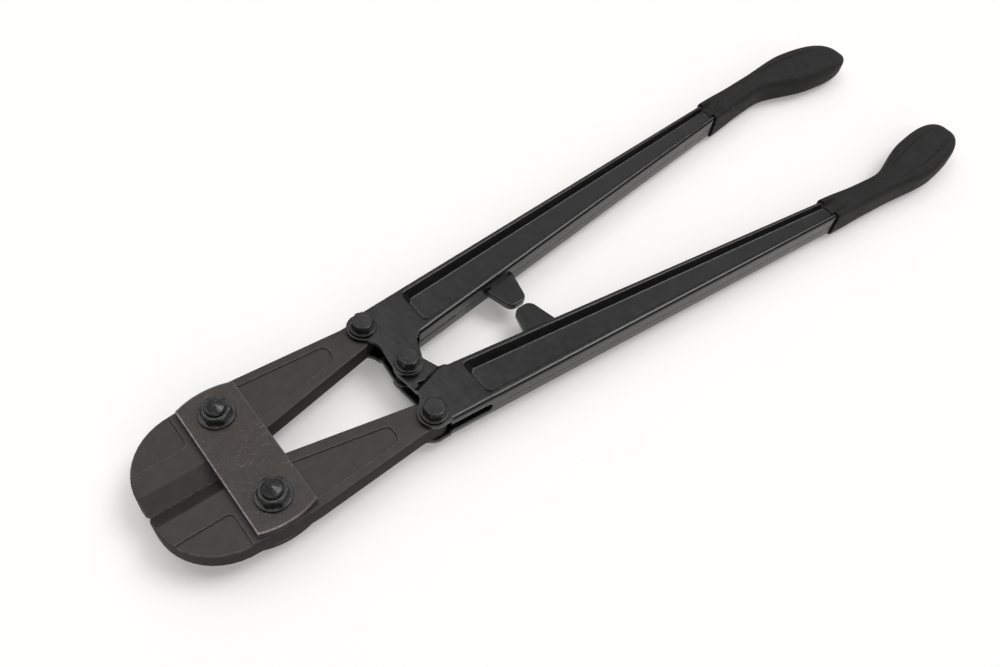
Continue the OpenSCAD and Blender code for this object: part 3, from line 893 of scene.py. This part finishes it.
def white_floor():
    """Paper white, with a glow for camera, glossy and transmission rays only."""
    f = Finish("floor", 0.9, specular=0.1)
    paper = f.mix(f.noise(60 * MM, 2), rgb(0.850, 0.830, 0.805), rgb(0.865, 0.845, 0.820))
    f.colour(paper)
    path = f.tree.nodes.new("ShaderNodeLightPath")
    seen = f.math("MAXIMUM", path.outputs["Is Camera Ray"], path.outputs["Is Glossy Ray"])
    seen = f.math("MAXIMUM", seen, path.outputs["Is Transmission Ray"])
    f.set(f.shader, "Emission Color", rgb(1, 1, 1))
    f.set(f.shader, "Emission Strength", f.math("MULTIPLY", seen, FLOOR_GLOW))
    return f.material


floor_mesh = bpy.data.meshes.new("floor")
floor_corners = [
    (FLOOR_REACH * x, FLOOR_REACH * y, 0) for x, y in ((-1, -1), (1, -1), (1, 1), (-1, 1))
]
floor_mesh.from_pydata(floor_corners, [], [(0, 1, 2, 3)])
floor_mesh.materials.append(white_floor())
floor = bpy.data.objects.new("floor", floor_mesh)
floor.matrix_world = (
    Matrix.Translation((PIVOT.x, 0, -FLOOR_GAP))
    @ Matrix.Rotation(-REST_TILT, 4, "Y")
)
bpy.context.scene.collection.objects.link(floor)


def heading(azimuth, elevation):
    """Unit vector from angles in degrees."""
    a, e = math.radians(azimuth), math.radians(elevation)
    return Vector((math.cos(e) * math.cos(a), math.cos(e) * math.sin(a), math.sin(e)))


# Studio sky: azimuth, elevation, radius where the softbox starts to fade, radius
# where it has gone, and strength
SKY_LEVEL = 0.17
SOFTBOXES = (
    (-14, 60, 8, 21, 6.0),
    (46, 50, 9, 25, 0.38),
    (31, 38, 6, 18, 0.20),
    (80, 28, 15, 40, 0.25),
    (98, 68, 9, 28, 1.9),
    (255, 40, 10, 30, 1.3),
)


def studio_world():
    """White backdrop for the camera, and a sky with softboxes for everything else."""
    world = bpy.data.worlds.new("studio")
    world.use_nodes = True
    tree = world.node_tree
    background = tree.nodes["Background"]
    background.inputs["Color"].default_value = rgb(1, 1, 1)
    towards_sky = tree.nodes.new("ShaderNodeTexCoord").outputs["Generated"]
    level = None
    for azimuth, elevation, full, gone, strength in SOFTBOXES:
        dot = tree.nodes.new("ShaderNodeVectorMath")
        dot.operation = "DOT_PRODUCT"
        tree.links.new(towards_sky, dot.inputs[0])
        dot.inputs[1].default_value = heading(azimuth, elevation)
        box = tree.nodes.new("ShaderNodeMapRange")
        box.interpolation_type = "SMOOTHERSTEP"
        tree.links.new(dot.outputs["Value"], box.inputs["Value"])
        box.inputs["From Min"].default_value = math.cos(math.radians(gone))
        box.inputs["From Max"].default_value = math.cos(math.radians(full))
        box.inputs["To Max"].default_value = strength
        total = tree.nodes.new("ShaderNodeMath")
        tree.links.new(box.outputs["Result"], total.inputs[0])
        if level is None:
            total.inputs[1].default_value = SKY_LEVEL
        else:
            tree.links.new(level, total.inputs[1])
        level = total.outputs[0]
    seen = tree.nodes.new("ShaderNodeMix")
    path = tree.nodes.new("ShaderNodeLightPath")
    tree.links.new(path.outputs["Is Camera Ray"], seen.inputs[0])
    tree.links.new(level, seen.inputs[FLOAT_A])
    seen.inputs[FLOAT_B].default_value = 1.0
    tree.links.new(seen.outputs[FLOAT_RESULT], background.inputs["Strength"])
    bpy.context.scene.world = world


studio_world()

# ------------------------------------------------------------------ camera

# Fitted to the photograph. Angles are in degrees, the distance and the target in metres,
# the sensor and the lens in millimetres.
CAMERA_AZIMUTH = 223.52
CAMERA_ELEVATION = 53.30
CAMERA_ROLL = 9.87
CAMERA_DISTANCE = 0.670
CAMERA_TARGET = Vector((CENTRE.x + 0.0733, -0.0112, MID_Z))
CAMERA_SENSOR = 36
CAMERA_LENS = 33.33

camera_data = bpy.data.cameras.new("camera")
camera_data.sensor_width = CAMERA_SENSOR
camera_data.lens = CAMERA_LENS
camera = bpy.data.objects.new("camera", camera_data)
towards = heading(CAMERA_AZIMUTH, CAMERA_ELEVATION)
look = -towards
right = look.cross(Vector((0, 0, 1))).normalized()
up = right.cross(look)
roll = math.radians(CAMERA_ROLL)
turn_right = math.cos(roll) * right + math.sin(roll) * up
turn_up = -math.sin(roll) * right + math.cos(roll) * up
turned = Matrix((turn_right, turn_up, towards)).transposed().to_4x4()
stand = CAMERA_TARGET + CAMERA_DISTANCE * towards
camera.matrix_world = Matrix.Translation(stand) @ turned
bpy.context.scene.collection.objects.link(camera)
bpy.context.scene.camera = camera

bpy.context.scene.view_settings.view_transform = "Standard"
